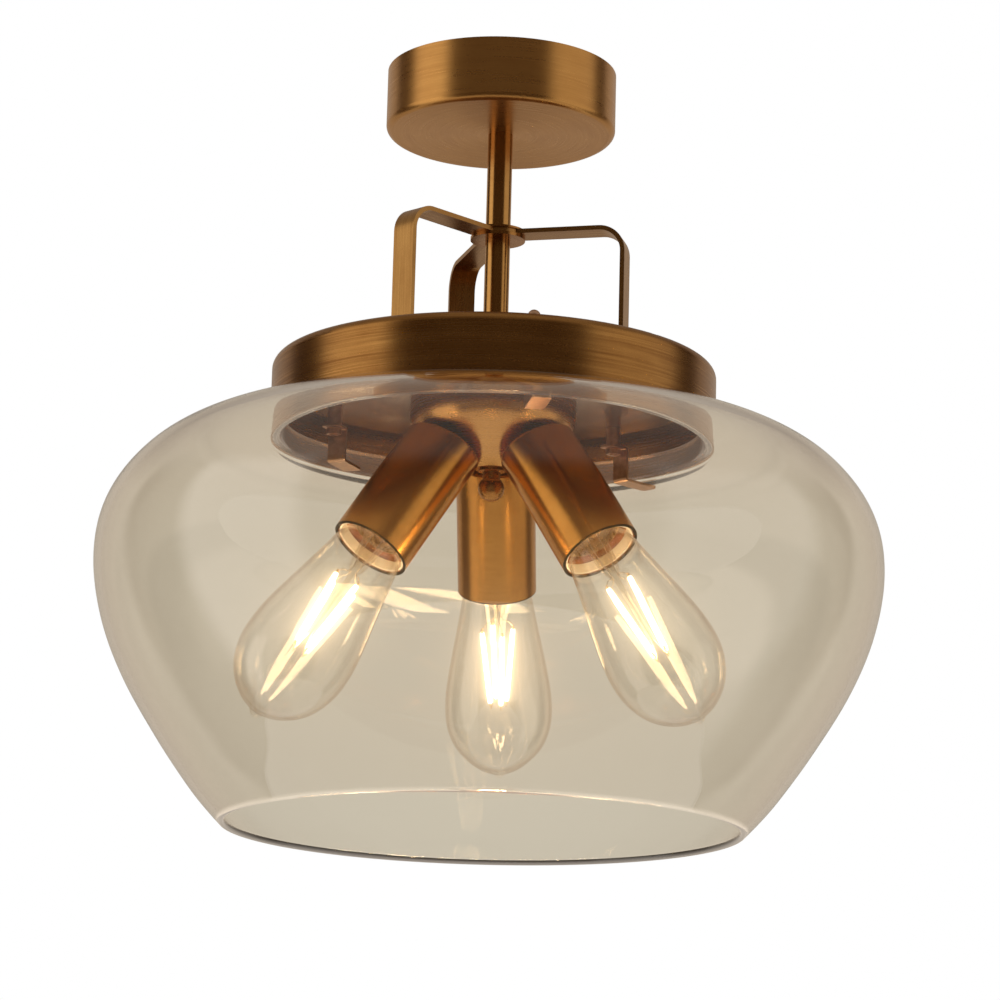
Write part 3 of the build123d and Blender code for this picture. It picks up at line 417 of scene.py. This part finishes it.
def thin_glass(name, clear, rim=(0.74, 0.69, 0.62), rough=0.015, front=0.035, gloss=(1.0, 0.98, 0.94)):
    """Thin blown glass: what is behind shows straight through, with a reflection that grows to the edge."""
    m = Mat(name)
    wave = m.noise(m.vec("MULTIPLY", m.pos, (60.0, 60.0, 60.0)), 1.0, 2.0, 0.5)
    dust = m.noise(m.pos, 900.0, 2.0, 0.6)
    nrm = m.bump(wave, 0.10, 0.0006)
    edge = m.n.new("ShaderNodeLayerWeight")
    edge.inputs["Blend"].default_value = 0.5
    m.l.new(nrm, edge.inputs["Normal"])
    facing = edge.outputs["Facing"]
    part = m.math("MULTIPLY_ADD", m.math("POWER", facing, 4.0), 0.96 - front, front)
    see = m.node("ShaderNodeBsdfTransparent", Color=m.ramp(facing, [(0.0, clear), (0.72, clear), (1.0, rim)]))
    shine = m.node("ShaderNodeBsdfGlossy", Color=(*gloss, 1.0), Roughness=m.span(dust, 0.4, 0.8, rough, rough + 0.05))
    m.l.new(nrm, shine.inputs["Normal"])
    mix = m.n.new("ShaderNodeMixShader")
    m.l.new(part, mix.inputs[0])
    m.l.new(see.outputs[0], mix.inputs[1])
    m.l.new(shine.outputs[0], mix.inputs[2])
    m.l.new(mix.outputs[0], m.out.inputs["Surface"])
    return m.m


def glow(name, colour, strength, rough=0.5):
    m = Mat(name)
    grain = m.noise(m.pos, 1400.0, 3.0, 0.6)
    col = m.ramp(grain, [(0.3, tuple(c * 0.82 for c in colour)), (0.7, colour)])
    b = m.principled(Base_Color=col, Roughness=m.span(grain, 0.3, 0.7, rough - 0.1, rough + 0.1), Normal=m.bump(grain, 0.2, 0.0001))
    m.l.new(col, b.inputs["Emission Color"])
    b.inputs["Emission Strength"].default_value = strength
    return m.m


def dress(node, mat):
    ob = nodes[node]
    ob.data.materials.clear()
    ob.data.materials.append(mat)
    ob.data.shade_smooth()
    ob.data.set_sharp_from_angle(angle=math.radians(28))


# ---------------------------------------------------------------------------
# Materials
# ---------------------------------------------------------------------------
brass_ring = brass("brass_round_the_stem")
# painted light and shade: the pan gets a darker copy of the brass and the rose a lighter one, for how the light falls
# on each
brass_pan_shaded = brass("brass_pan_shaded", deep=(0.17, 0.055, 0.010), light=(0.56, 0.285, 0.082), streak=0.8, rough=0.29)
brass_rose_lit = brass("brass_rose_lit", deep=(0.38, 0.155, 0.036), light=(0.76, 0.41, 0.125), streak=0.32, blotch=0.22, rough=0.31, relief=0.03)
brass_stem = brass("brass_stem", deep=(0.34, 0.14, 0.030), light=(0.72, 0.40, 0.125), rough=0.22, line=0.3, streak=0.2, blotch=0.12, relief=0.0, grain=1.0, matte=0.02)
# painted light: a lighter copy of the brass for the hub, standing in for the bulbs' light falling on it
brass_hub_lit = brass("brass_hub_lit", deep=(0.46, 0.195, 0.050), light=(0.80, 0.44, 0.135), rough=0.27, streak=0.12, relief=0.0, grain=2.0, matte=0.03)
brass_arm = brass("brass_arm", arms=True, deep=(0.24, 0.09, 0.018), light=(0.64, 0.36, 0.115), rough=0.30, streak=0.5)
# painted shade: the back sleeve gets a darker copy of the sleeve brass
BACK_SLEEVE_SHADED = {"back": ((0.33, 0.125, 0.020), (0.68, 0.35, 0.090))}
brass_lamp = {}
for n, az in LAMPS.items():
    dk, lt = BACK_SLEEVE_SHADED.get(n, ((0.40, 0.150, 0.022), (0.80, 0.42, 0.100)))
    brass_lamp[n] = brass(f"brass_sleeve_{n}", axis=lamp_matrix(az), rough=0.23, streak=0.26, blotch=0.10, aniso=0.45,
                          relief=0.0, mouth=SLEEVE_L, grain=2.0, matte=0.02, line=0.5, deep=dk, light=lt)
brass_tray = brass("brass_tray", deep=(0.13, 0.062, 0.028), light=(0.42, 0.23, 0.12), rough=0.20, streak=0.5)
brass_hook = metal("brass_hook", (0.70, 0.44, 0.28), (0.52, 0.30, 0.17), 0.32, 300.0, 0.05)
zinc = metal("zinc_yellow", (0.62, 0.56, 0.40), (0.48, 0.42, 0.30), 0.34, 180.0, 0.08)
bare = metal("brass_bare", (0.80, 0.60, 0.28), (0.62, 0.44, 0.18), 0.22, 300.0, 0.05)
nickel = metal("nickel_warm", (0.84, 0.64, 0.38), (0.56, 0.36, 0.16), 0.26, 420.0, 0.10)
wire_metal = metal("wire_nickel", (0.70, 0.62, 0.50), (0.48, 0.40, 0.30), 0.28, 700.0, 0.04)
block = plastic("terminal_plastic", (0.82, 0.81, 0.77), (0.74, 0.72, 0.66), 0.42)
porcelain = plastic("holder_porcelain", (0.84, 0.62, 0.34), (0.52, 0.30, 0.11), 0.30, coat=0.4, scale=420.0, bump=0.3)
# painted highlight: pale colour for the ring inside each sleeve's mouth
painted_highlight_liner = plastic("highlight_lip", (0.86, 0.80, 0.68), (0.78, 0.70, 0.56), 0.3, coat=0.4, scale=200.0)
sheath = plastic("lead_sheath", (0.80, 0.79, 0.75), (0.70, 0.69, 0.64), 0.45)
core = plastic("lead_core", (0.20, 0.10, 0.045), (0.13, 0.065, 0.03), 0.4)
black_glass = plastic("cap_black_glass", (0.015, 0.015, 0.018), (0.04, 0.035, 0.03), 0.12, coat=0.6)
glass_body = shade_glass("champagne_glass", (0.955, 0.925, 0.885))
bulb_clear = thin_glass("bulb_glass_clear", (0.985, 0.98, 0.965), front=0.05)
mount_clear = thin_glass("bulb_mount_glass", (0.95, 0.93, 0.89), (0.62, 0.56, 0.48), 0.03, 0.06)
bar_glow = glow("light_bar", (1.0, 0.76, 0.46), 74.0)

for n in ("ceiling_rose",):
    dress(n, brass_rose_lit)
dress("pan", brass_pan_shaded)
dress("stem_tube", brass_stem)
dress("spider_bracket", brass_arm)
dress("spider_plates", brass_ring)
dress("hub_body", brass_hub_lit)
dress("finial_nut", brass_ring)
dress("stiffener_tray", brass_tray)
for n in ("rose_side_screws", "hook_cap_nuts"):
    dress(n, brass_hook)
for n in ("hook_rods", "hook_spacers", "hook_nuts", "shade_hook_front", "shade_hook_right", "shade_hook_left"):
    dress(n, brass_hook)
for n in ("ceiling_bracket", "rose_nipple", "rose_washer", "rose_nut", "centre_nipple", "centre_nuts", "hub_coupler",
          "sleeve_nipples", "sleeve_washers", "sleeve_nuts", "finial_stud", "arm_pins"):
    dress(n, zinc)
dress("sleeve_spacers", brass_ring)
for n in ("earth_screw", "terminal_screws", "lampholder_contacts"):
    dress(n, bare)
dress("terminal_block", block)
dress("supply_lead", sheath)
dress("lamp_leads", core)
for n in LAMPS:
    dress(f"lamp_sleeve_{n}", brass_lamp[n])
    dress(f"lampholder_{n}", porcelain)
    dress(f"thread_shell_{n}", bare)
    dress(f"bulb_cap_{n}", nickel)
    dress(f"bulb_base_{n}", black_glass)

# spun hub: the drum runs over into the cone in a wide soft bend
hub_r, hub_b = 0.0434, 0.018
cr, cz = 0.0274 - 0.002 * TS, -0.0069 + 0.002 * TC
corner = cz + (hub_r - cr) * math.tan(TILT)
run = hub_b * math.tan((math.pi / 2 - TILT) / 2)
bend_z = corner + run
pts = [(0.0031, cz + (0.009 - cr) * math.tan(TILT)), (0.009, cz + (0.009 - cr) * math.tan(TILT))]
pts += [(hub_r - hub_b + hub_b * math.sin(t), bend_z - hub_b * math.cos(t))
        for t in [TILT + (math.pi / 2 - TILT) * i / 20 for i in range(21)]]
pts += [(hub_r, 0.0262), (hub_r - 0.0012, 0.0262)]
pts += [(hub_r - hub_b + (hub_b - 0.0012) * math.sin(t), bend_z - (hub_b - 0.0012) * math.cos(t))
        for t in [TILT + (math.pi / 2 - TILT) * i / 20 for i in range(20, -1, -1)]]
pts += [(0.009, cz + (0.009 - cr) * math.tan(TILT) + 0.0012 / TC), (0.0031, cz + (0.009 - cr) * math.tan(TILT) + 0.0012 / TC)]
hub = lathe("hub_shell", [(r, NECK + z - 0.0002) for r, z in pts], segs=160, sharp=30)
hub.data.materials.append(brass_hub_lit)
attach(hub, "fixture")
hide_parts("hub_body")

# a thin pale ring just inside each sleeve's mouth, a painted highlight for the light caught on the sleeve's inner edge
for name, az in LAMPS.items():
    pts = [(17.7, 66.0), (18.9, 66.0), (18.9, 71.2), (18.7, 71.5), (18.3, 71.5), (17.9, 71.2)]
    lip = lathe(f"highlight_lip_{name}", [(r / 1000, v / 1000) for r, v in pts], segs=96, matrix=lamp_matrix(az), sharp=40)
    lip.data.materials.append(painted_highlight_liner)
    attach(lip, "fixture")

# ---------------------------------------------------------------------------
# Glass shade
# ---------------------------------------------------------------------------
SHADE = [(115.0, -1.3), (119.5, -1.25), (125.0, -1.35), (136.0, -1.9), (147.0, -3.4), (157.8, -6.6), (167.9, -11.6),
         (177.1, -18.1), (185.2, -26.1), (192.1, -35.3), (197.2, -45.2), (200.4, -55.9), (201.7, -67.0), (201.5, -77.9),
         (200.1, -88.4), (197.9, -98.5), (195.0, -108.3), (191.4, -117.8), (187.2, -127.1), (182.4, -136.4),
         (176.9, -145.8), (170.7, -155.6), (163.7, -166.3), (155.4, -178.1), (145.4, -191.2), (132.9, -204.8)]
WALL = 3.6


def shade_profile():
    outer = fine(SHADE, 200)
    inner = []
    for i in range(1, len(outer) - 1):
        dx, dy = outer[i + 1][0] - outer[i - 1][0], outer[i + 1][1] - outer[i - 1][1]
        d = math.hypot(dx, dy)
        inner.append((outer[i][0] + WALL * dy / d, outer[i][1] - WALL * dx / d))
    rd = Vector((outer[-1][0] - outer[-2][0], outer[-1][1] - outer[-2][1])).normalized()
    side = Vector((rd.y, -rd.x))
    c = Vector(outer[-1]) + side * WALL / 2
    rim = []
    for i in range(1, 14):
        t = math.pi * i / 14
        rim.append(tuple(c - side * (WALL / 2) * math.cos(t) + rd * 1.5 * math.sin(t)))
    last = tuple(Vector(outer[-1]) + side * WALL)
    inner = [p for p in inner if p[0] > 116.5 or p[1] < -20]
    low = arc(115.0, 0.7, 6.0, 270, 180, 14, 5.6)
    collar = [(109.0, 5.0), (109.0, 10.2)] + arc(111.0, 11.3, 2.0, 180, 0, 14, 1.7)[0:] + [(113.0, 5.0)]
    corner = arc(115.0, 0.7, 2.0, 180, 270, 8)
    pts = corner[:-1] + outer + rim + [last] + list(reversed(inner)) + low + collar
    return [((r - 0.02) / 1000, NECK + (z + 0.05) / 1000) for r, z in pts]


shade = lathe("shade_glass", shade_profile(), segs=288, sharp=None)
shade.data.materials.append(glass_body)
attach(shade, "glass_shade")
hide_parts("glass_shade")

# ---------------------------------------------------------------------------
# Bulbs
# ---------------------------------------------------------------------------
BULB = [(12.5, -9.5), (12.6, -8.3), (13.2, -7.0), (14.5, -5.2), (16.1, -3.0), (17.5, 0.0), (18.5, 4.5), (19.35, 9.5),
        (20.3, 15.0), (23.2, 30.0), (26.1, 45.0), (27.9, 56.0), (28.7, 67.0), (28.3, 75.5), (26.5, 83.0),
        (23.4, 90.0), (19.2, 95.6), (14.2, 100.0), (9.4, 102.8), (6.2, 104.1), (4.3, 105.3), (3.1, 106.5), (2.2, 107.6),
        (1.2, 108.4), (0.0, 108.75)]
GLASS_T = 0.8
SPIN = {"back": 24.0, "left": 21.0, "right": -21.0}
for name, az in LAMPS.items():
    mt = lamp_matrix(az)
    body = f"bulb_{name}"
    outer = fine(BULB, 150)
    outer[-1] = (0.0, outer[-1][1])
    inner = []
    for i in range(1, 132):
        dx, dy = outer[i + 1][0] - outer[i - 1][0], outer[i + 1][1] - outer[i - 1][1]
        d = math.hypot(dx, dy)
        if outer[i][1] < 101.0:
            inner.append((outer[i][0] - GLASS_T * dy / d, outer[i][1] + GLASS_T * dx / d))
    inner = [(11.7, -11.0)] + inner + [(8.6, 102.0), (5.0, 103.2), (2.6, 104.3), (1.2, 105.3), (0.0, 105.6)]
    prof = [(12.5, -11.0)] + outer + list(reversed(inner))
    g = lathe(f"bulb_envelope_{name}", [(max(r, 0) / 1000, SLEEVE_L + m / 1000) for r, m in prof], segs=128, matrix=mt, sharp=None)
    g.data.materials.append(bulb_clear)
    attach(g, body)
    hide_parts(f"bulb_glass_{name}")

    # glass stem: flare, tube, pressed foot and the rod that carries the bars
    f0 = -11.0
    stem = [(11.7, f0), (11.7, f0 + 0.7), (10.6, f0 + 1.9), (8.6, f0 + 3.7), (6.9, f0 + 6.4), (5.9, f0 + 10.0),
            (5.4, f0 + 15.0), (4.9, f0 + 20.0), (3.9, f0 + 24.0), (2.2, f0 + 27.2), (1.5, f0 + 29.5), (1.5, f0 + 34.0),
            (1.25, f0 + 44.0), (1.2, f0 + 60.0), (1.5, f0 + 64.5), (1.9, f0 + 66.6), (1.5, f0 + 68.3), (0.0, f0 + 68.9)]
    bore = [(0.0, f0 + 24.0), (1.0, f0 + 23.6), (2.4, f0 + 21.0), (3.8, f0 + 16.0), (4.6, f0 + 10.5), (5.4, f0 + 6.6),
            (7.6, f0 + 3.6), (9.8, f0 + 0.9), (10.3, f0)]
    s_pts = [(r, v) for r, v in stem] + bore
    st = lathe(f"bulb_stem_{name}", [(r / 1000, SLEEVE_L + m / 1000) for r, m in s_pts], segs=48, matrix=mt, sharp=60)
    st.data.materials.append(mount_clear)
    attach(st, body)
    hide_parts(f"bulb_mount_{name}")

    # light bars with metal end clips, spread at the stem and drawn together towards the tip
    bars, clips, wires = [], [], []
    lo, hi = 23.5, 64.0
    for k in range(4):
        ang = math.radians(45 + 90 * k + SPIN[name])
        c, s = math.cos(ang), math.sin(ang)
        a = Vector((8.6 * c, 8.6 * s, (SLEEVE_L * 1000 + lo))) / 1000
        b = Vector((4.6 * c, 4.6 * s, (SLEEVE_L * 1000 + hi))) / 1000
        along = (b - a).normalized()
        path = [a + along * ((b - a).length * i / 16) for i in range(17)]
        bars.append(tube(f"bar_{k}", path, 0.00132, 12, mt, taper=lambda t: 1.0 if 0.04 < t < 0.96 else 0.82))
        for end, sgn in ((a, -1), (b, 1)):
            clips.append(tube(f"clip_{k}_{sgn}", [end - along * sgn * 0.0011, end + along * sgn * 0.0004, end + along * sgn * 0.0021], 0.00066, 8, mt))
        low = a - along * 0.0015
        top = b + along * 0.0015
        foot = Vector((1.9 * c, 1.9 * s, SLEEVE_L * 1000 + f0 + 26.0)) / 1000
        knee = Vector((6.0 * c, 6.0 * s, SLEEVE_L * 1000 + f0 + 29.5)) / 1000
        wires.append(tube(f"wire_low_{k}", smooth_path([foot, (foot + knee) / 2 + Vector((0, 0, 0.0012)), knee, low], 14), 0.00022, 6, mt))
        hub = Vector((1.0 * c, 1.0 * s, SLEEVE_L * 1000 + f0 + 66.8)) / 1000
        arch = Vector((4.2 * c, 4.2 * s, SLEEVE_L * 1000 + hi + 3.6)) / 1000
        wires.append(tube(f"wire_top_{k}", smooth_path([hub, (hub + arch) / 2 + Vector((0, 0, 0.001)), arch, top], 14), 0.00022, 6, mt))
    for sgn in (1, -1):
        pts = [Vector((2.2 * sgn, 0, SLEEVE_L * 1000 + f0 - 6)) / 1000, Vector((3.0 * sgn, 0.3, SLEEVE_L * 1000 + f0 + 6)) / 1000,
               Vector((2.4 * sgn, 0.0, SLEEVE_L * 1000 + f0 + 18)) / 1000, Vector((1.5 * sgn, 0, SLEEVE_L * 1000 + f0 + 25)) / 1000]
        wires.append(tube(f"wire_in_{sgn}", smooth_path(pts, 18), 0.00028, 6, mt))
    for o in bars:
        o.data.materials.append(bar_glow)
    for o in clips:
        o.data.materials.append(nickel)
    for o in wires:
        o.data.materials.append(wire_metal)
    fb = join(f"light_bars_{name}", bars)
    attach(fb, body)
    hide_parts(f"bulb_filaments_{name}")
    fw = join(f"bar_wires_{name}", wires + clips)
    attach(fw, body)

# ---------------------------------------------------------------------------
# Floor, light and camera
# ---------------------------------------------------------------------------
floor = lathe("floor", [(0.0, -3.0), (1.5, -3.0), (3.5, -3.0), (3.5, -3.02), (0.0, -3.02)], segs=96, closed=False, sharp=30)
fm = Mat("floor_pale")
fn = fm.noise(fm.pos, 6.0, 3.0, 0.5)
fb_ = fm.principled(Base_Color=fm.ramp(fn, [(0.3, (0.83, 0.82, 0.80)), (0.7, (0.86, 0.855, 0.84))]), Roughness=fm.span(fn, 0.3, 0.7, 0.6, 0.7))
fb_.inputs["Emission Color"].default_value = (1.0, 0.99, 0.97, 1.0)
fb_.inputs["Emission Strength"].default_value = 0.35
floor.data.materials.append(fm.m)

world = bpy.data.worlds.new("studio")
scene.world = world
world.use_nodes = True
w = Mat.__new__(Mat)
w.m, w.n, w.l = world, world.node_tree.nodes, world.node_tree.links
w.n.clear()
wout = w.n.new("ShaderNodeOutputWorld")
tc = w.n.new("ShaderNodeTexCoord")
d = w.vec("NORMALIZE", tc.outputs["Generated"])
dx, dy, dz = w.split(d)[0], w.split(d)[1], w.split(d)[2]
azim = w.math("MULTIPLY", w.math("ARCTAN2", dx, dy), 180 / math.pi)   # 0 is behind the object, -90 its left, 90 its right
side = w.math("ABSOLUTE", azim)
elev = w.math("MULTIPLY", w.math("ARCSINE", dz), 180 / math.pi)


def box_light(a0, a1, soft_a, e0, e1, soft_e, value, s=azim):
    f = w.span(s, a0 - soft_a, a0 + soft_a, 0.0, 1.0, True)
    g = w.span(s, a1 - soft_a, a1 + soft_a, 1.0, 0.0, True)
    h = w.span(elev, e0 - soft_e, e0 + soft_e, 0.0, 1.0, True)
    k = w.span(elev, e1 - soft_e, e1 + soft_e, 1.0, 0.0, True)
    return w.math("MULTIPLY", w.math("MULTIPLY", w.math("MULTIPLY", f, g), w.math("MULTIPLY", h, k)), value)


cream = box_light(-1, 52, 4, -42, 28, 7, 0.41, side)                             # backdrop
cream = w.math("ADD", cream, box_light(-1, 181, 1, -91, -50, 9, 0.45, side))    # light off the floor
light = box_light(-124, -82, 5, -42, 32, 7, 1.0)                                 # left softbox
light = w.math("ADD", light, box_light(74, 130, 7, -40, 32, 7, 0.62))            # right softbox
light = w.math("ADD", light, box_light(-1, 181, 1, 30, 91, 8, 0.28, side))      # white ceiling
lp = w.n.new("ShaderNodeLightPath")
through = w.math("GREATER_THAN", lp.outputs["Transmission Depth"], 0.5)
warm = w.n.new("ShaderNodeCombineColor")
for i, (soft, back, base, lamp) in enumerate(((1.0, 1.0, 0.050, 0.115), (0.965, 0.925, 0.027, 0.086), (0.905, 0.80, 0.012, 0.050))):
    v = w.math("MULTIPLY_ADD", light, soft, base)
    v = w.math("MULTIPLY_ADD", cream, back, v)
    w.put(warm, i, w.math("MULTIPLY_ADD", through, lamp, v))                      # light of the lamps inside the shade
bg_room = w.node("ShaderNodeBackground", Color=warm.outputs[0], Strength=1.0)
seen = w.n.new("ShaderNodeCombineColor")                                          # white, or the cream backdrop behind the glass
for i, v in enumerate((0.620, 0.580, 0.478)):
    w.put(seen, i, w.math("MULTIPLY_ADD", through, v - 1.0, 1.0))
bg_white = w.node("ShaderNodeBackground", Color=seen.outputs[0], Strength=1.0)
bounced = w.math("ADD", lp.outputs["Diffuse Depth"], lp.outputs["Glossy Depth"])
fac = w.math("GREATER_THAN", bounced, 0.5)
mixw = w.n.new("ShaderNodeMixShader")
w.l.new(fac, mixw.inputs[0])
w.l.new(bg_white.outputs[0], mixw.inputs[1])
w.l.new(bg_room.outputs[0], mixw.inputs[2])
w.l.new(mixw.outputs[0], wout.inputs["Surface"])

cd = bpy.data.cameras.new("view")
cd.lens, cd.sensor_width = 135.47, 36.0
cd.clip_start, cd.clip_end = 0.05, 50.0
cam = bpy.data.objects.new("view", cd)
scene.collection.objects.link(cam)
pitch, roll, yaw = 0.225203, 0.026198, 0.0024859
fwd = Vector((math.sin(yaw) * math.cos(pitch), math.cos(yaw) * math.cos(pitch), math.sin(pitch)))
right = Vector((math.cos(yaw), -math.sin(yaw), 0.0))
upv = right.cross(fwd)
cx = right * math.cos(roll) + upv * math.sin(roll)
cy = upv * math.cos(roll) - right * math.sin(roll)
mm = Matrix((cx, cy, -fwd)).transposed().to_4x4()
mm.translation = Vector((0.0, -1.88784, -0.66256))
cam.matrix_world = mm
scene.camera = cam

# a soft halo round the light bars, which are far brighter than white
scene.use_nodes = True
ct = scene.node_tree
ct.nodes.clear()
layers = ct.nodes.new("CompositorNodeRLayers")
halo = ct.nodes.new("CompositorNodeGlare")
halo.glare_type = "BLOOM"
halo.quality = "HIGH"
halo.inputs["Threshold"].default_value = 1.6
halo.inputs["Strength"].default_value = 1.0
halo.inputs["Size"].default_value = 0.45
comp = ct.nodes.new("CompositorNodeComposite")
ct.links.new(layers.outputs["Image"], halo.inputs["Image"])
ct.links.new(halo.outputs["Image"], comp.inputs["Image"])

scene.view_settings.view_transform = "Standard"
scene.view_settings.look = "None"
scene.view_settings.exposure = 0.0
scene.cycles.max_bounces = 24
scene.cycles.transmission_bounces = 24
scene.cycles.glossy_bounces = 8
scene.cycles.diffuse_bounces = 4
scene.cycles.transparent_max_bounces = 48
scene.cycles.sample_clamp_indirect = 6.0
scene.cycles.caustics_refractive = True
scene.cycles.caustics_reflective = True
scene.cycles.use_denoising = True
